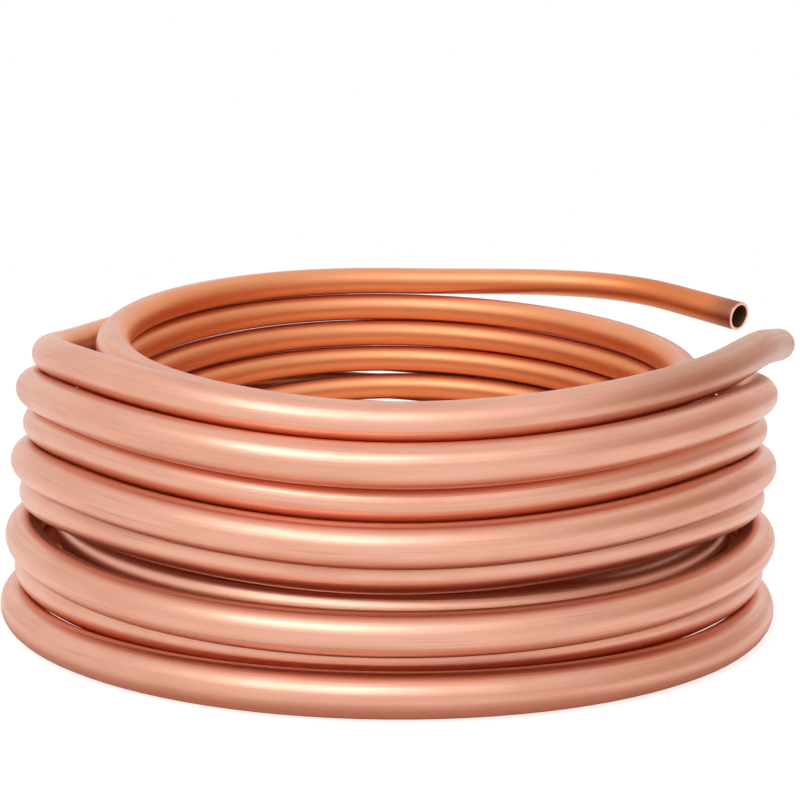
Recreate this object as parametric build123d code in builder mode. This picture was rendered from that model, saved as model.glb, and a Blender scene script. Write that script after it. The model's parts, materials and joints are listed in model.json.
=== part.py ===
from build123d import *
import math
import os

# A coil of soft copper tube, lying on a level floor. Millimetres, +Z up, the axis of the coil on Z.
# The tube starts at its high end, goes down the outer layer, moves in at the floor and climbs inside.

tube_diameter = 10.0
tube_wall = 1.0
coil_radius = 109.0  # of the tube's centre line in the outer layer

# At the front every other turn has slipped inwards over the one under it, so the stack is lower there.
# Shares of the tube's diameter, with the top outer turn first. Each turn rests against the one under it.
outer_pitch_share = 1.025
outer_slip_shares = (0.54, 0, 0.55, 0, 0.78, 0, 0.78, 0)
outer_side_slip_shares = (0.30, 0, 0.14, 0, 0.10, 0, 0.12, 0)
outer_lift_shares = (0, 0, 0, 0, 0.56, 0, 0, 0)  # where an inner turn shows under it at the front
outer_back_shares = (1.30, 0.08, 0.08, 0.085, 0.085, 0.09, 0.09, 0)  # how far it is spread at the back
slip_zone = (105, 15)  # degrees from the front where the slip begins, and where it is complete
lift_zone = (82, 35)  # and the same for the lift
back_power = 1.5

# The inner layer, with its first turn first: how far inside the outer layer it is, and how high.
inner_pitch_share = 1.03
inner_slip_shares = (1.95, 2.80, 1.23, 2.20, 2.60, 2.20, 2.60, 2.20)
inner_side_slip_shares = (1.60, 2.40, 1.17, 1.75, 1.90, 1.75, 1.90, 1.75)
inner_back_slip_share = 1.06
inner_front_shares = (0.88, 1.66, 2.045, 3.08, 4.06, 5.06, 6.04, 7.02)
inner_side_shares = (1.00, 2.20, 2.97, 4.36, 5.40, 6.45, 7.49, 8.53)
inner_back_shares = (1.10, 3.30, 5.12, 6.30, 7.33, 8.36, 9.39, 10.42)
inner_high_angles = (0, 1, 2, -4, -5, -6, -6, -6)  # how far to the right of the back it is highest
floor_share = 0.5
taper_share = 0.05  # of its height, by which a turn is smaller
lean_share = 0.034  # and further to the right

# Where each outer turn steps to the next, in degrees round the coil from its front, clockwise from above.
# The last one moves in at the floor, and the inner layer climbs steadily.
outer_step = (125, 258)
move_in = (105, 175)
inner_step = (0.25, 0.75)  # share of an inner turn, in which its slip becomes the next one's
turn_open = 70  # an outer turn's own angles run from minus this
station_step = 45
start_angle = -45
half_turn = 180
full_turn = 360

# The free ends, each with a straight run: across in shares of the coil's radius, up in tube diameters.
high_end_shares = (1.101, 0.028, 7.80)
high_end_way = (0.45, 0.89, 0.0)
high_run_share = 0.23
low_end_shares = (1.106, 0.404, 8.65)
low_end_way = (0.60, -0.80, -0.22)
low_run_share = 0.275

copper_density = 8.94e-6  # kg in a cubic millimetre


def around(shares, angle):
    """A value that goes smoothly from front to side to back of a turn."""
    front, side, back = shares
    first = math.cos(math.radians(angle))
    second = math.cos(math.radians(2 * angle))
    mean = (front + back + 2 * side) / 4
    return mean + (front - back) / 2 * first + (front + back - 2 * side) / 4 * second


def eased(angle, zone):
    """Zero before a zone, one after it and smooth between."""
    share = (angle - zone[0]) / (zone[1] - zone[0])
    share = min(max(share, 0), 1)
    return share * share * (3 - 2 * share)


def frontness(angle, zone):
    """One at the front, and nothing from the sides to the back."""
    return eased(math.degrees(math.acos(math.cos(math.radians(angle)))), zone)


def backness(angle):
    """One at the back, and nothing from the sides to the front."""
    return max(0, -math.cos(math.radians(angle))) ** back_power


def outer_turn(turn, angle):
    """How far an outer turn has slipped in, and how high it is, in tube diameters."""
    ahead = frontness(angle, slip_zone)
    aside = around((0, 1, 0), angle) * (1 - ahead)
    shares = zip(outer_slip_shares, outer_side_slip_shares)
    slips = [front * ahead + side * aside for front, side in shares]
    height = floor_share
    for upper in range(turn, len(slips) - 1):
        offset = slips[upper] - slips[upper + 1] + taper_share
        offset += lean_share * math.sin(math.radians(angle))
        height += math.sqrt(outer_pitch_share ** 2 - offset ** 2)
        height += outer_lift_shares[upper] * frontness(angle, lift_zone)
        height += outer_back_shares[upper] * backness(angle)
    return slips[turn], height


def inner_turn(turn, angle):
    """The same for an inner turn."""
    slips = inner_slip_shares[turn], inner_side_slip_shares[turn], inner_back_slip_share
    heights = inner_front_shares[turn], inner_side_shares[turn], inner_back_shares[turn]
    return around(slips, angle), around(heights, angle - inner_high_angles[turn])


def between(this, following, share):
    """A slip and a height part of the way from one turn's to the next one's."""
    slip = this[0] + share * (following[0] - this[0])
    return slip, this[1] + share * (following[1] - this[1])


def centre(angle):
    """The point of the tube's centre line at an angle that runs on from turn to turn."""
    outer_turns = len(outer_slip_shares)
    turn = min(math.floor((angle + turn_open) / full_turn), outer_turns - 1)
    own = angle - turn * full_turn
    climb = angle / full_turn - outer_turns
    if climb >= 0:
        level = math.floor(climb)
        this = inner_turn(level, own)
        following = inner_turn(level + 1, own)
        slip = between(this, following, eased(climb - level, inner_step))[0]
        height = between(this, following, climb - level)[1]
    elif turn < outer_turns - 1:
        slip, height = between(outer_turn(turn, own), outer_turn(turn + 1, own), eased(own, outer_step))
    else:
        slip, height = inner_turn(0, own)
        inside = slip, max(floor_share, height + climb * inner_pitch_share)
        slip, height = between(outer_turn(turn, own), inside, eased(own, move_in))
    rise = (height - floor_share) * tube_diameter
    radius = coil_radius - slip * tube_diameter - taper_share * rise
    way = math.radians(angle)
    across = lean_share * rise - radius * math.sin(way)
    return Vector(across, -radius * math.cos(way), height * tube_diameter)


def heading(angle):
    nudge = station_step / full_turn
    return (centre(angle + nudge) - centre(angle - nudge)).normalized()


def end_point(shares):
    across, away, up = shares
    return Vector(coil_radius * across, coil_radius * away, tube_diameter * up)


def meeting_point(start, start_way, end, end_way):
    """Where two arcs meet that leave the start and reach the end along the given ways."""
    gap = end - start
    along = gap.dot(start_way + end_way)
    bend = 2 * (1 - start_way.dot(end_way))
    reach = (math.sqrt(along * along + bend * gap.dot(gap)) - along) / bend
    return (start + end + (start_way - end_way) * reach) / 2


# Stations along the route: the inner end of the high end's straight run, the turns, and the low end's.
high_way = Vector(*high_end_way).normalized()
low_way = Vector(*low_end_way).normalized()
high_tip = end_point(high_end_shares)
low_tip = end_point(low_end_shares)
turns = len(outer_slip_shares) + len(inner_slip_shares) - 1
last_angle = turns * full_turn - half_turn
angles = range(start_angle, last_angle + 1, station_step)
stations = [(high_tip - high_way * coil_radius * high_run_share, -high_way)]
stations += [(centre(angle), heading(angle)) for angle in angles]
stations += [(low_tip - low_way * coil_radius * low_run_share, low_way)]

with BuildPart() as copper_tube:
    with BuildLine() as route:
        Line(high_tip, stations[0][0])
        for (start, start_way), (end, end_way) in zip(stations, stations[1:]):
            middle = meeting_point(start, start_way, end, end_way)
            first_arc = TangentArc(start, middle, tangent=start_way)
            TangentArc(middle, end, tangent=first_arc % 1)
        Line(stations[-1][0], low_tip)
    with BuildSketch(Plane(origin=high_tip, z_dir=-high_way)):
        Circle(tube_diameter / 2)
        Circle(tube_diameter / 2 - tube_wall, mode=Mode.SUBTRACT)
    sweep(path=route.wire(), clean=False)

copper_tube.part.label = "copper_tube"
os.makedirs("parts", exist_ok=True)
export_step(copper_tube.part, "parts/copper_tube.step")

bends = [edge.radius for edge in route.edges() if edge.geom_type == GeomType.CIRCLE]
size = copper_tube.part.bounding_box()
print("route length", round(route.wire().length), "arcs", len(bends))
print("bend radius from", round(min(bends)), "to", round(max(bends)))
print("volume", round(copper_tube.part.volume), "kg", round(copper_tube.part.volume * copper_density, 3))
print("box", size.min, size.max, "solids", len(copper_tube.part.solids()))
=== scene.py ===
import json
import math

import bpy
import numpy as np
from bpy.props import FloatProperty, FloatVectorProperty, IntProperty, PointerProperty
from mathutils import Matrix, Vector
from mathutils.kdtree import KDTree


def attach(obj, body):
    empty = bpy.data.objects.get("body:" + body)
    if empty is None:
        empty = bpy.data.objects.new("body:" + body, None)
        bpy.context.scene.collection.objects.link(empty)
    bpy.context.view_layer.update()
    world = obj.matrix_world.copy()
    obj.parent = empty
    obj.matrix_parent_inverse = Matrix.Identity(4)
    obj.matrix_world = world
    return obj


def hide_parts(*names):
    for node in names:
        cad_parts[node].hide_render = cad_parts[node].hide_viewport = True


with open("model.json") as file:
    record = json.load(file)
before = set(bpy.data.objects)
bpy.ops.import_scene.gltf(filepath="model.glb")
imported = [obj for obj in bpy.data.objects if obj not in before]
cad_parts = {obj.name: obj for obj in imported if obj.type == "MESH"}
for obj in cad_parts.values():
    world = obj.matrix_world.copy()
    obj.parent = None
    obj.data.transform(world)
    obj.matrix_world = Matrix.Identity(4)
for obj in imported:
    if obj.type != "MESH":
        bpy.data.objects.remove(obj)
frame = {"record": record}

bl_info = {
    "name": "Copper tube coil",
    "version": (1, 0, 0),
    "blender": (4, 5, 0),
    "location": "View3D > Sidebar > Copper coil",
    "description": "Winds a loose coil of soft copper tube and lights it on a white sweep",
    "category": "Object",
}

# The turns of the coil, as in the part's source: shares of the tube's diameter, one for each turn.
# A turn has slipped in by its slip, and each outer turn rests against the one under it.
# A few lie up to half a millimetre from the source's, so that less light shows between them.
OUTER_PITCHES = (1.025, 1.025, 1.025, 1.025, 1.025, 1.025, 1.02)
OUTER_SLIPS = (0.54, 0, 0.55, 0, 0.78, 0, 0.78, 0)
OUTER_SIDE_SLIPS = (0.30, 0, 0.14, 0, 0.10, 0, 0.12, 0)
OUTER_LIFTS = (0, 0, 0, 0, 0.56, 0, 0, 0)  # where an inner turn shows under it at the front
OUTER_BACKS = (1.30, 0.08, 0.08, 0.085, 0.085, 0.09, 0.09, 0)  # how far it is spread at the back
BACK_POWER = 1.5
INNER_PITCH = 1.03
INNER_SLIPS = (1.95, 2.80, 1.23, 2.20, 2.60, 2.20, 2.60, 2.20)
INNER_SIDE_SLIPS = (1.60, 2.40, 1.17, 1.75, 1.90, 1.75, 1.90, 1.75)
INNER_BACK_SLIP = 1.06
INNER_FRONT = (0.88, 1.66, 2.03, 3.08, 4.06, 5.06, 6.04, 7.02)
INNER_SIDE = (1.00, 2.20, 2.97, 4.36, 5.40, 6.45, 7.49, 8.53)
INNER_BACK = (1.10, 3.30, 5.16, 6.34, 7.348, 8.356, 9.364, 10.372)
INNER_HIGH_ANGLES = (0, 1, 2, -4, -5, -6, -6, -6)  # how far to the right of the back it is highest
FLOOR_SHARE = 0.5
TAPER_SHARE = 0.05  # of its height, by which a turn is smaller
LEAN_SHARE = 0.034  # and further to the right
INNER_STEP = (0.25, 0.75)  # of an inner turn, in which its slip becomes the next one's

# Degrees round the coil from its front, clockwise from above.
SLIP_ZONE = (105, 15)  # where the slip begins, and where it is complete
LIFT_ZONE = (82, 35)  # and the same for the lift
OUTER_STEP = (125, 258)  # where an outer turn steps to the next
MOVE_IN = (105, 175)  # where the last one moves in at the floor
START_ANGLE = -45
STATION_STEP = 45
TURN_OPEN = 70  # an outer turn's own angles run from minus this
FULL_TURN = 360

# The free ends, each with a straight run: across in shares of the coil's radius, up in tube diameters.
HIGH_END = (1.101, 0.028, 7.80)
HIGH_END_WAY = (0.45, 0.89, 0.0)
HIGH_RUN = 0.23
LOW_END = (1.106, 0.404, 8.65)
LOW_END_WAY = (0.60, -0.80, -0.22)
LOW_RUN = 0.275

# Lumps of a noise in a metre, along the tube and round it, then its detail and its roughness
FINE_LINES = (9, 2600, 3.0, 0.5)
COARSE_LINES = (5, 520, 3.0, 0.5)
CLOUDS = (32, 120, 4.0, 0.6)
SCRATCHES = (26, 1500, 2.0, 0.5)
BORE_STREAKS = (40, 700, 3.0, 0.5)
RIM_GRAINS = 2600.0
RIM_DETAIL = 2.0

# How a noise or a share takes part: two values of it, and what it gives at each
CLOUD_DULLING = (0.45, 0.72, 0.0, 0.7)
LINE_DULLING = (0.5, 0.68, 0.0, 0.7)
SCRATCH_BROWNING = (0.62, 0.74, 0.0, 0.28)
# Painted orange reflection on the sides of the turns that face the coil's axis
PAINTED_REFLECTION_WARMING = (0.0, 1.0, 0.0, 0.75)
# Painted red-brown shade between touching turns
CREVICE_REDDENING = (0.0, 1.0, 0.0, 0.7)
LINE_ROUGHNESS = (0.3, 0.7, 0.28, 0.40)
CLOUD_ROUGHNESS = (0.4, 0.75, 0.0, 0.10)
INWARD_ROUGHNESS = (0.0, 1.0, 0.0, 0.10)
BORE_BROWNING = (0.35, 0.7, 0.0, 0.5)
BORE_ROUGHNESS = (0.3, 0.7, 0.5, 0.65)
RIM_DARKENING = (0.4, 0.7, 0.0, 0.6)
RIM_ROUGHNESS = (0.3, 0.7, 0.22, 0.36)
BORE_METAL = 0.7
LINE_STRENGTH = 0.55
LINE_DEPTH = 0.00005

# Where the finish changes along and round the tube
CREVICE_REACH = 0.25  # of the tube's radius, beyond which a neighbouring turn leaves no painted shade
INWARD_START = 0.1  # how far a face looks to the coil's axis, where the painted orange reflection starts
INWARD_RUN = 0.6  # and how much further it looks there where the painted orange reflection is complete
LOW_TINT = (0.085, 0.06, 0.7)  # metres from the end where it stops, metres of its fading, and its most
# Where the tube turns darker brown towards each end, in the same way
LOW_DARKENING = (0.0115, 0.009, 0.9)
HIGH_DARKENING = (0.13, 0.08, 0.42)

# The wall and the cut rims
BARE_BEVEL_SIDES = 4  # of a round curve with a bevel resolution of nothing
RIM_SEGMENTS = 2
RIM_ANGLE = math.radians(50)
SMOOTH_ANGLE = math.radians(40)

# The stage, in metres
FLOOR_SIDE = 6.0
FLOOR_GREY = (0.5, 0.5, 0.5, 1)
FLOOR_GLOW = 0.75
WHITE = (1.0, 1.0, 1.0)
EYE_EDGE = (0.08, 0.10)  # from the axis, where the painted orange glow in the coil's eye becomes the painted shadow beside the tube
COIL_EDGE = (0.1145, 0.126)  # and where that painted shadow becomes white
SIDE_REACH = (0.55, 1.0)  # how far a look goes to the right, where the sweep takes its tone
SWEEP_LIGHT = 0.55  # strength of the sweep as light, where its strength to the eye is one
SWEEP_SEEN = 1.0
KEY_PLACE = (-0.44, -1.02, 0.95)
KEY_SIZE = (1.0, 0.72)
FILL_PLACE = (0.35, -1.05, 0.85)
FILL_SIZE = (0.85, 0.7)
LAMP_COLOUR = (0.91, 0.95, 1.0)
LAMP_AIM = (0, 0, 0.04)
CAMERA_NEAR = 0.01
SENSOR_WIDTH = 36.0  # millimetres
IMAGE_SIDE = 800  # pixels

END_RADIUS_MM = frame["record"]["mounts"][1]["dims"]["r_mm"]
MM_IN_METRE = 1000


# Settings that a user would change

def colour_setting(name, description, default):
    return FloatVectorProperty(
        name=name, description=description, subtype="COLOR", size=3, default=default, min=0.0, max=1.0)


class CoilSizes(bpy.types.PropertyGroup):
    tube_diameter: FloatProperty(
        name="Tube diameter", description="Outside diameter of the tube",
        default=END_RADIUS_MM * 2 / MM_IN_METRE, min=0.004, max=0.03, unit="LENGTH")
    tube_wall: FloatProperty(
        name="Wall", description="Thickness of the tube's wall",
        default=0.001, min=0.0004, max=0.003, unit="LENGTH")
    coil_radius: FloatProperty(
        name="Coil radius", description="From the coil's axis to the tube's centre line in the outer layer",
        default=0.109, min=0.06, max=0.4, unit="LENGTH")
    rim_round: FloatProperty(
        name="Rim rounding", description="How much the cut ends' edges are rounded",
        default=0.00018, min=0.0, max=0.0005, unit="LENGTH")
    sides: IntProperty(
        name="Sides", description="Faces round the tube, an even number", default=24, min=12, max=32)
    steps: IntProperty(
        name="Steps", description="Faces along the tube between two stations", default=15, min=6, max=17)


class CopperFinish(bpy.types.PropertyGroup):
    copper: colour_setting("Copper", "Bright drawn copper", (0.79, 0.415, 0.30))
    dull: colour_setting("Dull copper", "Copper that handling has dulled", (0.69, 0.325, 0.225))
    # Painted reflection: the orange of copper reflecting copper, on the sides that face the coil's axis
    painted_inner_reflection: colour_setting(
        "Warm copper", "Orange reflection painted on the side of a turn that faces the coil's axis", (0.84, 0.325, 0.12))
    # Painted shade: the red-brown colour between touching turns
    painted_crevice_shade: colour_setting("Painted crevice shade", "Red-brown shade painted between touching turns", (0.85, 0.20, 0.055))
    tint: colour_setting("Tinted end", "Deep orange tint towards the low end", (0.64, 0.17, 0.045))
    brown: colour_setting("Brown end", "Darker brown at both ends", (0.34, 0.14, 0.075))
    bore: colour_setting("Bore", "Brown skin inside the tube", (0.20, 0.085, 0.045))
    rim: colour_setting("Cut rim", "Freshly cut metal at the ends", (0.86, 0.54, 0.40))


class CoilStage(bpy.types.PropertyGroup):
    lens: FloatProperty(
        name="Lens", description="Focal length of the camera in millimetres",
        default=50.0, min=20.0, max=200.0)
    distance: FloatProperty(
        name="Distance", description="From the camera to the coil's axis",
        default=0.34115, min=0.2, max=2.0, unit="LENGTH")
    height: FloatProperty(
        name="Height", description="Of the camera over the floor",
        default=0.08742, min=0.01, max=1.0, unit="LENGTH")
    horizon: FloatProperty(
        name="Horizon", description="Row of the picture in which the horizon lies",
        default=309.55, min=0.0, max=800.0)
    middle: FloatProperty(
        name="Middle", description="Column of the picture in which the coil's axis lies",
        default=390.5, min=0.0, max=800.0)
    roll: FloatProperty(
        name="Roll", description="How far the camera is turned about its own line of sight",
        default=math.radians(0.7), min=-0.2, max=0.2, unit="ROTATION")
    key_radiance: FloatProperty(
        name="Key light", description="Brightness of the large soft light at the left",
        default=3.0, min=0.0, max=8.0)
    fill_radiance: FloatProperty(
        name="Fill light", description="Brightness of the soft light at the right",
        default=0.45, min=0.0, max=8.0)
    side_tone: colour_setting(
        "Right side", "Tone that the metal reflects from the right", (0.60, 0.40, 0.31))
    # Painted shadow: the dark tone that reflections see on the floor beside the coil
    painted_shadow_tone: colour_setting(
        "Floor at the coil", "Tone that the metal reflects from the floor beside it", (0.30, 0.10, 0.03))
    # Painted light: the orange glow that reflections see on the floor in the coil's eye
    painted_eye_glow: colour_setting(
        "Floor in the eye", "Tone that the metal reflects from the floor in the coil's middle",
        (1.0, 0.66, 0.44))


# The route of the tube

def around(shares, angle):
    """A value that goes smoothly from the front to the sides to the back of a turn."""
    front, side, back = shares
    first = math.cos(math.radians(angle))
    second = math.cos(math.radians(2 * angle))
    mean = (front + back + 2 * side) / 4
    return mean + (front - back) / 2 * first + (front + back - 2 * side) / 4 * second


def eased(angle, zone):
    """Zero before a zone, one after it and smooth between."""
    share = min(max((angle - zone[0]) / (zone[1] - zone[0]), 0), 1)
    return share * share * (3 - 2 * share)


def frontness(angle, zone):
    """One at the front, and nothing from the sides to the back."""
    return eased(math.degrees(math.acos(math.cos(math.radians(angle)))), zone)


def backness(angle):
    """One at the back, and nothing from the sides to the front."""
    return max(0, -math.cos(math.radians(angle))) ** BACK_POWER


def outer_turn(turn, angle):
    """How far an outer turn has slipped in, and how high it is, in tube diameters."""
    ahead = frontness(angle, SLIP_ZONE)
    aside = around((0, 1, 0), angle) * (1 - ahead)
    slips = [front * ahead + side * aside for front, side in zip(OUTER_SLIPS, OUTER_SIDE_SLIPS)]
    height = FLOOR_SHARE
    for upper in range(turn, len(slips) - 1):
        offset = slips[upper] - slips[upper + 1] + TAPER_SHARE + LEAN_SHARE * math.sin(math.radians(angle))
        height += math.sqrt(OUTER_PITCHES[upper] ** 2 - offset ** 2)
        height += OUTER_LIFTS[upper] * frontness(angle, LIFT_ZONE) + OUTER_BACKS[upper] * backness(angle)
    return slips[turn], height


def inner_turn(turn, angle):
    """The same for an inner turn, from its tables."""
    slips = INNER_SLIPS[turn], INNER_SIDE_SLIPS[turn], INNER_BACK_SLIP
    heights = INNER_FRONT[turn], INNER_SIDE[turn], INNER_BACK[turn]
    return around(slips, angle), around(heights, angle - INNER_HIGH_ANGLES[turn])


def between(this, following, share):
    """A slip and a height part of the way from one turn's to the next one's."""
    return tuple(a + share * (b - a) for a, b in zip(this, following))


def centre(angle, sizes):
    """The point of the tube's centre line at an angle that runs on from turn to turn."""
    outer_turns = len(OUTER_SLIPS)
    turn = min(math.floor((angle + TURN_OPEN) / FULL_TURN), outer_turns - 1)
    own = angle - turn * FULL_TURN
    climb = angle / FULL_TURN - outer_turns
    if climb >= 0:
        level = math.floor(climb)
        this, following = inner_turn(level, own), inner_turn(level + 1, own)
        slip = between(this, following, eased(climb - level, INNER_STEP))[0]
        height = between(this, following, climb - level)[1]
    elif turn < outer_turns - 1:
        slip, height = between(outer_turn(turn, own), outer_turn(turn + 1, own), eased(own, OUTER_STEP))
    else:
        slip, height = inner_turn(0, own)
        inside = slip, max(FLOOR_SHARE, height + climb * INNER_PITCH)
        slip, height = between(outer_turn(outer_turns - 1, own), inside, eased(own, MOVE_IN))
    rise = (height - FLOOR_SHARE) * sizes.tube_diameter
    radius = sizes.coil_radius - slip * sizes.tube_diameter - TAPER_SHARE * rise
    way = math.radians(angle)
    across = LEAN_SHARE * rise - radius * math.sin(way)
    return Vector((across, -radius * math.cos(way), height * sizes.tube_diameter))


def heading(angle, sizes):
    nudge = STATION_STEP / FULL_TURN
    return (centre(angle + nudge, sizes) - centre(angle - nudge, sizes)).normalized()


def end_point(shares, sizes):
    across, away, up = shares
    return Vector((sizes.coil_radius * across, sizes.coil_radius * away, sizes.tube_diameter * up))


def stations(sizes):
    """Points that the tube passes through, and its way at each, from the high end to the low one."""
    high, low = end_point(HIGH_END, sizes), end_point(LOW_END, sizes)
    high_way, low_way = -Vector(HIGH_END_WAY).normalized(), Vector(LOW_END_WAY).normalized()
    turns = len(OUTER_SLIPS) + len(INNER_SLIPS) - 1
    angles = range(START_ANGLE, turns * FULL_TURN - FULL_TURN // 2 + 1, STATION_STEP)
    found = [(high, high_way), (high + high_way * sizes.coil_radius * HIGH_RUN, high_way)]
    found += [(centre(angle, sizes), heading(angle, sizes)) for angle in angles]
    found += [(low - low_way * sizes.coil_radius * LOW_RUN, low_way), (low, low_way)]
    return found


# Nodes

def put(tree, kind, links=None, **values):
    """Adds a node, sets its values by name and links its inputs."""
    node = tree.nodes.new(kind)
    for name, value in values.items():
        setattr(node, name, value)
    for name, source in (links or {}).items():
        if isinstance(source, bpy.types.NodeSocket):
            tree.links.new(source, node.inputs[name])
        else:
            node.inputs[name].default_value = source
    return node


def reckoned(tree, operation, first, second, **values):
    """Two numbers taken together by a Math node."""
    return put(tree, "ShaderNodeMath", {0: first, 1: second}, operation=operation, **values).outputs[0]


def blended(tree, share, first, second):
    """Two colours mixed by a share, each a socket or a colour."""
    mix = put(tree, "ShaderNodeMix", data_type="RGBA")
    factor, colour_a, colour_b = mix.inputs[0], mix.inputs[6], mix.inputs[7]
    tree.links.new(share, factor)
    for socket, value in ((colour_a, first), (colour_b, second)):
        if isinstance(value, bpy.types.NodeSocket):
            tree.links.new(value, socket)
        else:
            socket.default_value = (*value, 1)
    return mix.outputs[2]


def ranged(tree, value, low, high, to_low=0.0, to_high=1.0):
    """A value that goes from one number to another while its source goes from low to high."""
    node = put(tree, "ShaderNodeMapRange", {
        "Value": value, "From Min": low, "From Max": high, "To Min": to_low, "To Max": to_high})
    return node.outputs["Result"]


def along_tube(tree, lumps):
    """Noise drawn out along the tube, on its texture coordinates in metres."""
    along, round_it, detail, roughness = lumps
    lengths = put(tree, "ShaderNodeUVMap", uv_map="tube_lengths").outputs["UV"]
    mapping = put(tree, "ShaderNodeMapping", {"Vector": lengths, "Scale": (along, round_it, 1)})
    noise = put(tree, "ShaderNodeTexNoise", {
        "Vector": mapping.outputs["Vector"], "Scale": 1.0, "Detail": detail, "Roughness": roughness})
    return noise.outputs["Fac"]


# Finishes

def fresh_material(name):
    material = bpy.data.materials.new(name)
    material.use_nodes = True
    tree = material.node_tree
    tree.nodes.clear()
    shader = put(tree, "ShaderNodeBsdfPrincipled")
    output = put(tree, "ShaderNodeOutputMaterial")
    tree.links.new(shader.outputs["BSDF"], output.inputs["Surface"])
    return material, tree, shader


def drawn_copper(finish):
    """Soft drawn copper: lines and scratches along it, dull clouds, a painted orange reflection on the
    sides facing the axis, painted red-brown shade between turns, and a tint and darker brown towards the
    ends.
    """
    material, tree, shader = fresh_material("drawn_copper")
    fine, coarse, cloud, scratch = (
        along_tube(tree, lumps) for lumps in (FINE_LINES, COARSE_LINES, CLOUDS, SCRATCHES))
    crevice_shade, inside, tinted, darkened_ends = (
        put(tree, "ShaderNodeAttribute", attribute_name=name).outputs["Fac"]
        for name in ("crevice_shade", "inside", "tinted", "darkened_ends"))
    colour = blended(tree, ranged(tree, cloud, *CLOUD_DULLING), finish.copper, finish.dull)
    colour = blended(tree, ranged(tree, coarse, *LINE_DULLING), colour, finish.dull)
    colour = blended(tree, ranged(tree, scratch, *SCRATCH_BROWNING), colour, finish.brown)
    # Painted orange reflection on the sides that face the coil's axis
    colour = blended(tree, ranged(tree, inside, *PAINTED_REFLECTION_WARMING), colour, finish.painted_inner_reflection)
    # Painted red-brown shade where a turn lies close to another
    colour = blended(tree, ranged(tree, crevice_shade, *CREVICE_REDDENING), colour, finish.painted_crevice_shade)
    colour = blended(tree, tinted, colour, finish.tint)
    # Darker brown towards both ends
    colour = blended(tree, darkened_ends, colour, finish.brown)
    tree.links.new(colour, shader.inputs["Base Color"])
    shader.inputs["Metallic"].default_value = 1.0
    rough = reckoned(
        tree, "ADD", ranged(tree, fine, *LINE_ROUGHNESS), ranged(tree, cloud, *CLOUD_ROUGHNESS))
    rough = reckoned(tree, "ADD", rough, ranged(tree, inside, *INWARD_ROUGHNESS))
    tree.links.new(rough, shader.inputs["Roughness"])
    bump = put(tree, "ShaderNodeBump", {
        "Height": reckoned(tree, "ADD", fine, coarse), "Strength": LINE_STRENGTH, "Distance": LINE_DEPTH})
    tree.links.new(bump.outputs["Normal"], shader.inputs["Normal"])
    return material


def bore_copper(finish):
    """The brown, dull skin inside the tube."""
    material, tree, shader = fresh_material("bore_copper")
    streak = along_tube(tree, BORE_STREAKS)
    colour = blended(tree, ranged(tree, streak, *BORE_BROWNING), finish.bore, finish.brown)
    tree.links.new(colour, shader.inputs["Base Color"])
    shader.inputs["Metallic"].default_value = BORE_METAL
    tree.links.new(ranged(tree, streak, *BORE_ROUGHNESS), shader.inputs["Roughness"])
    return material


def cut_copper(finish):
    """The rim that the cutter left: bright, with fine grain."""
    material, tree, shader = fresh_material("cut_copper")
    place = put(tree, "ShaderNodeTexCoord").outputs["Object"]
    grain = put(tree, "ShaderNodeTexNoise", {"Vector": place, "Scale": RIM_GRAINS, "Detail": RIM_DETAIL})
    grain = grain.outputs["Fac"]
    colour = blended(tree, ranged(tree, grain, *RIM_DARKENING), finish.rim, finish.copper)
    tree.links.new(colour, shader.inputs["Base Color"])
    shader.inputs["Metallic"].default_value = 1.0
    tree.links.new(ranged(tree, grain, *RIM_ROUGHNESS), shader.inputs["Roughness"])
    return material


# The tube

def apply_modifier(piece, kind, **values):
    modifier = piece.modifiers.new(kind.title(), kind)
    for name, value in values.items():
        setattr(modifier, name, value)
    bpy.context.view_layer.objects.active = piece
    bpy.ops.object.modifier_apply(modifier=modifier.name)


def route_curve(found, sizes):
    """The route as one round curve, each handle as long as an arc between its two stations needs."""
    curve = bpy.data.curves.new("copper_tube_route", "CURVE")
    curve.dimensions = "3D"
    curve.twist_mode = "MINIMUM"
    curve.resolution_u = sizes.steps
    curve.bevel_depth = sizes.tube_diameter / 2
    curve.bevel_resolution = (sizes.sides - BARE_BEVEL_SIDES) // 2
    points = curve.splines.new("BEZIER").bezier_points
    points.add(len(found) - 1)
    for point, (place, _) in zip(points, found):
        point.handle_left_type = point.handle_right_type = "FREE"
        point.co = point.handle_left = point.handle_right = place
    for index, ((start, start_way), (end, end_way)) in enumerate(zip(found, found[1:])):
        turning = start_way.angle(end_way)
        reach = (end - start).length / (3 * math.cos(turning / 4) ** 2)
        points[index].handle_right = start + start_way * reach
        points[index + 1].handle_left = end - end_way * reach
    return curve


def lay_lengths(mesh, lengths, sizes):
    """Metres along and round the tube, as its texture coordinates."""
    corners = np.zeros(len(mesh.loops), np.int32)
    mesh.loops.foreach_get("vertex_index", corners)
    corners = corners.reshape(-1, 4)
    side = corners % sizes.sides
    wrapped = (side.max(axis=1) - side.min(axis=1))[:, None] > 1
    side = np.where(wrapped & (side == 0), sizes.sides, side)
    round_it = side * math.pi * sizes.tube_diameter / sizes.sides
    lay = np.stack([lengths[corners // sizes.sides], round_it], axis=-1)
    while mesh.uv_layers:
        mesh.uv_layers.remove(mesh.uv_layers[0])
    layer = mesh.uv_layers.new(name="tube_lengths")
    layer.data.foreach_set("uv", lay.astype(np.float32).ravel())


def crevice_shares(points, middles, sides, radius):
    """For each point of the tube's skin, how deep it lies between its own turn and another: 0 to 1."""
    tree = KDTree(len(middles))
    for index, middle in enumerate(middles):
        tree.insert(middle, index)
    tree.balance()
    reach = radius * CREVICE_REACH
    own_stretch = 2 * sides
    shares = np.zeros(len(points), np.float32)
    for index, point in enumerate(points):
        ring = index // sides
        near = tree.find_range(point, radius + reach)
        gaps = [far - radius for _, other, far in near if abs(other - ring) > own_stretch]
        if gaps:
            shares[index] = (1 - max(min(gaps), 0) / reach) ** 2
    return shares


def faded(away, fade):
    """A share that falls with the distance from an end."""
    stop, run, most = fade
    return np.clip((stop - away) / run, 0, most)


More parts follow.
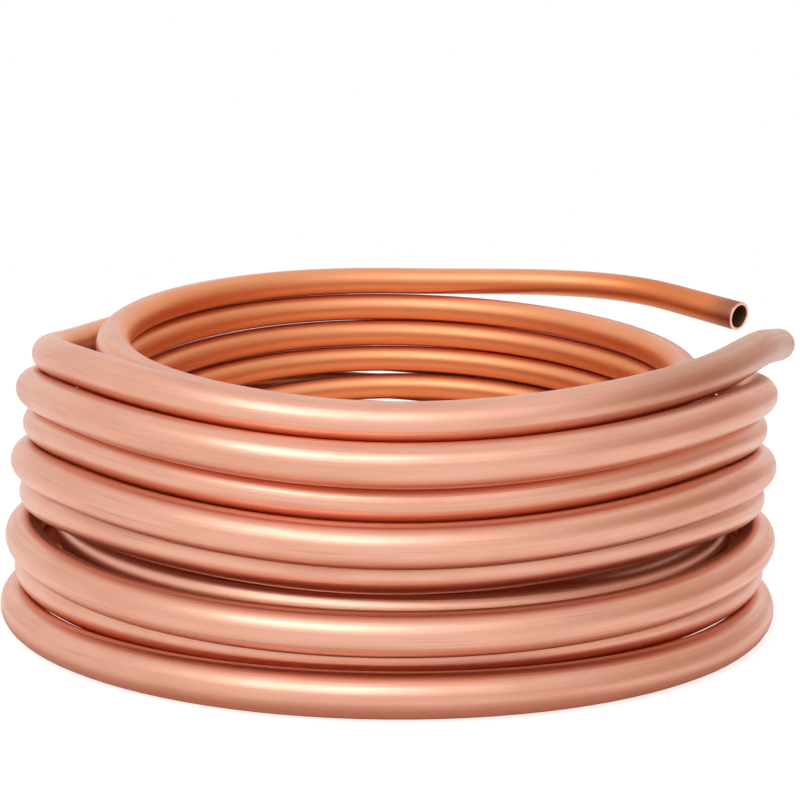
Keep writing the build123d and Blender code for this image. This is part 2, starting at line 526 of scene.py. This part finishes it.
def mark_finish(mesh, points, middles, lengths, sizes):
    """Attributes for the copper: painted shade in crevices, a painted orange reflection on the sides facing
    the coil's axis, and a tint and darker brown towards the ends.
    """
    radius = sizes.tube_diameter / 2
    outwards = points - np.repeat(middles, sizes.sides, axis=0)
    from_axis = np.linalg.norm(points[:, :2], axis=1)
    inwards = -(outwards * points * (1, 1, 0)).sum(axis=1) / from_axis / radius
    from_high = np.repeat(lengths, sizes.sides)
    from_low = lengths[-1] - from_high
    marks = {
        # Painted shade between turns, and a painted orange reflection on the sides facing the axis
        "crevice_shade": crevice_shares(points, middles, sizes.sides, radius),
        "inside": np.clip((inwards - INWARD_START) / INWARD_RUN, 0, 1),
        "tinted": faded(from_low, LOW_TINT),
        "darkened_ends": faded(from_low, LOW_DARKENING) + faded(from_high, HIGH_DARKENING),
    }
    for name, shares in marks.items():
        attribute = mesh.attributes.new(name, "FLOAT", "POINT")
        attribute.data.foreach_set("value", shares.astype(np.float32))


class COIL_OT_wind_tube(bpy.types.Operator):
    """Wind the coil of copper tube from its high end to its low one"""
    bl_idname = "coil.wind_tube"
    bl_label = "Wind the tube"
    bl_options = {"REGISTER", "UNDO"}

    def execute(self, context):
        sizes, finish = context.scene.coil_sizes, context.scene.coil_finish
        found = stations(sizes)
        bpy.ops.object.select_all(action="DESELECT")

        tube = bpy.data.objects.new("copper_tube_drawn", route_curve(found, sizes))
        context.collection.objects.link(tube)
        tube.select_set(True)
        context.view_layer.objects.active = tube
        bpy.ops.object.convert(target="MESH")
        tube = context.view_layer.objects.active
        mesh = tube.data
        rings = (len(found) - 1) * sizes.steps + 1
        expected = rings * sizes.sides
        if len(mesh.vertices) != expected:
            raise RuntimeError("the tube has %d points and not %d" % (len(mesh.vertices), expected))

        points = np.zeros(expected * 3, np.float32)
        mesh.vertices.foreach_get("co", points)
        points = points.reshape(-1, 3)
        middles = points.reshape(rings, sizes.sides, 3).mean(axis=1)
        strides = np.linalg.norm(np.diff(middles, axis=0), axis=1)
        lengths = np.concatenate([[0], np.cumsum(strides)])
        lay_lengths(mesh, lengths, sizes)
        mark_finish(mesh, points, middles, lengths, sizes)

        # The wall, the cut rims and their rounded edges.
        materials = [drawn_copper(finish), bore_copper(finish), cut_copper(finish)]
        for material in materials:
            mesh.materials.append(material)
        bore, rim = 1, 2
        first_face = mesh.polygons[0]
        outward = first_face.normal.dot(first_face.center - Vector(middles[0]))
        apply_modifier(tube, "SOLIDIFY", thickness=sizes.tube_wall, offset=-1 if outward > 0 else 1,
                       use_rim=True, material_offset=bore, material_offset_rim=rim)
        apply_modifier(tube, "BEVEL", width=sizes.rim_round, segments=RIM_SEGMENTS, limit_method="ANGLE",
                       angle_limit=RIM_ANGLE, use_clamp_overlap=True, material=rim)
        bpy.ops.object.shade_smooth_by_angle(angle=SMOOTH_ANGLE)
        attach(tube, "root")
        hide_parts("copper_tube")
        return {"FINISHED"}


# The stage

def seen_share(tree):
    """One where the camera or a reflection looks, and zero for the light that the surfaces gather."""
    path = put(tree, "ShaderNodeLightPath")
    either = reckoned(tree, "MAXIMUM", path.outputs["Is Camera Ray"], path.outputs["Is Glossy Ray"])
    return reckoned(tree, "MAXIMUM", either, path.outputs["Is Transmission Ray"])


def floor_material(stage):
    """White where it is looked at, with a part that light falls on, so that the coil's shadow stays; in
    reflections it shows a painted shadow beside the coil and a painted orange glow in its eye.
    """
    material = bpy.data.materials.new("white_floor")
    material.use_nodes = True
    tree = material.node_tree
    tree.nodes.clear()
    plain = put(tree, "ShaderNodeBsdfDiffuse", {"Color": FLOOR_GREY})
    camera_ray = put(tree, "ShaderNodeLightPath").outputs["Is Camera Ray"]
    place = put(tree, "ShaderNodeTexCoord").outputs["Object"]
    away = put(tree, "ShaderNodeVectorMath", {0: place}, operation="LENGTH").outputs["Value"]
    # Painted for reflections only: a dark shadow beside the tube and an orange glow in the coil's eye
    painted_shadow_and_glow = blended(tree, ranged(tree, away, *EYE_EDGE), stage.painted_eye_glow, stage.painted_shadow_tone)
    clear = reckoned(tree, "MAXIMUM", ranged(tree, away, *COIL_EDGE), camera_ray)
    colour = blended(tree, clear, painted_shadow_and_glow, WHITE)
    strength = ranged(tree, seen_share(tree), 0.0, 1.0, 0.0, FLOOR_GLOW)
    glow = put(tree, "ShaderNodeEmission", {"Color": colour, "Strength": strength})
    both = put(tree, "ShaderNodeAddShader", {0: plain.outputs[0], 1: glow.outputs[0]})
    output = put(tree, "ShaderNodeOutputMaterial")
    tree.links.new(both.outputs[0], output.inputs["Surface"])
    return material


def light_sweep(world, stage):
    """A white sweep all round, which the metal sees in another tone at the right."""
    world.use_nodes = True
    tree = world.node_tree
    tree.nodes.clear()
    look = put(tree, "ShaderNodeTexCoord").outputs["Generated"]
    rightwards = put(tree, "ShaderNodeSeparateXYZ", {"Vector": look}).outputs["X"]
    camera_ray = put(tree, "ShaderNodeLightPath").outputs["Is Camera Ray"]
    toned = reckoned(tree, "SUBTRACT", ranged(tree, rightwards, *SIDE_REACH), camera_ray, use_clamp=True)
    colour = blended(tree, toned, WHITE, stage.side_tone)
    strength = ranged(tree, seen_share(tree), 0.0, 1.0, SWEEP_LIGHT, SWEEP_SEEN)
    ground = put(tree, "ShaderNodeBackground", {"Color": colour, "Strength": strength})
    output = put(tree, "ShaderNodeOutputWorld")
    tree.links.new(ground.outputs["Background"], output.inputs["Surface"])


def soft_light(name, place, size, radiance):
    """A large even light that faces the coil's middle, of the given brightness."""
    aim = Vector(LAMP_AIM) - Vector(place)
    turned = aim.to_track_quat("-Z", "Y").to_euler()
    bpy.ops.object.light_add(type="AREA", location=place, rotation=turned)
    lamp = bpy.context.object
    lamp.name = name
    lamp.data.shape = "RECTANGLE"
    lamp.data.size, lamp.data.size_y = size
    lamp.data.color = LAMP_COLOUR
    lamp.data.energy = radiance * math.pi * size[0] * size[1]


def front_camera(stage):
    """A camera that sees the horizon and the coil's axis in the row and the column that are set."""
    focal = stage.lens / SENSOR_WIDTH * IMAGE_SIDE
    down = math.atan((IMAGE_SIDE / 2 - stage.horizon) / focal)
    aside = math.atan((IMAGE_SIDE / 2 - stage.middle) / focal)
    turned = Matrix.Rotation(-aside, 3, "Z") @ Matrix.Rotation(math.pi / 2 - down, 3, "X")
    turned = turned @ Matrix.Rotation(stage.roll, 3, "Z")
    place = (0, -stage.distance, stage.height)
    bpy.ops.object.camera_add(location=place, rotation=turned.to_euler())
    camera = bpy.context.object
    camera.name = "front_camera"
    camera.data.lens = stage.lens
    camera.data.sensor_width = SENSOR_WIDTH
    camera.data.clip_start = CAMERA_NEAR
    return camera


class COIL_OT_set_stage(bpy.types.Operator):
    """Put the coil on a white floor under a large soft light, with the camera in front"""
    bl_idname = "coil.set_stage"
    bl_label = "Set the stage"
    bl_options = {"REGISTER", "UNDO"}

    def execute(self, context):
        scene, stage = context.scene, context.scene.coil_stage
        scene.view_settings.view_transform = "Standard"
        bpy.ops.object.select_all(action="DESELECT")

        bpy.ops.mesh.primitive_plane_add(size=FLOOR_SIDE, location=(0, 0, 0))
        floor = context.object
        floor.name = "white_floor"
        floor.data.materials.append(floor_material(stage))

        scene.world = scene.world or bpy.data.worlds.new("white_sweep")
        light_sweep(scene.world, stage)
        soft_light("key_light", KEY_PLACE, KEY_SIZE, stage.key_radiance)
        soft_light("fill_light", FILL_PLACE, FILL_SIZE, stage.fill_radiance)
        scene.camera = front_camera(stage)
        return {"FINISHED"}


class COIL_PT_panel(bpy.types.Panel):
    """The coil's settings and its two steps"""
    bl_idname = "COIL_PT_panel"
    bl_label = "Copper coil"
    bl_space_type = "VIEW_3D"
    bl_region_type = "UI"
    bl_category = "Copper coil"

    def draw(self, context):
        layout = self.layout
        for group in (context.scene.coil_sizes, context.scene.coil_finish, context.scene.coil_stage):
            box = layout.box()
            for name in group.__annotations__:
                box.prop(group, name)
        layout.operator(COIL_OT_wind_tube.bl_idname)
        layout.operator(COIL_OT_set_stage.bl_idname)


CLASSES = (CoilSizes, CopperFinish, CoilStage, COIL_OT_wind_tube, COIL_OT_set_stage, COIL_PT_panel)


def register():
    for cls in CLASSES:
        bpy.utils.register_class(cls)
    bpy.types.Scene.coil_sizes = PointerProperty(type=CoilSizes)
    bpy.types.Scene.coil_finish = PointerProperty(type=CopperFinish)
    bpy.types.Scene.coil_stage = PointerProperty(type=CoilStage)


def unregister():
    del bpy.types.Scene.coil_stage
    del bpy.types.Scene.coil_finish
    del bpy.types.Scene.coil_sizes
    for cls in reversed(CLASSES):
        bpy.utils.unregister_class(cls)


def main():
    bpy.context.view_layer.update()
    register()
    bpy.ops.coil.wind_tube()
    bpy.ops.coil.set_stage()


if __name__ == "__main__":
    main()
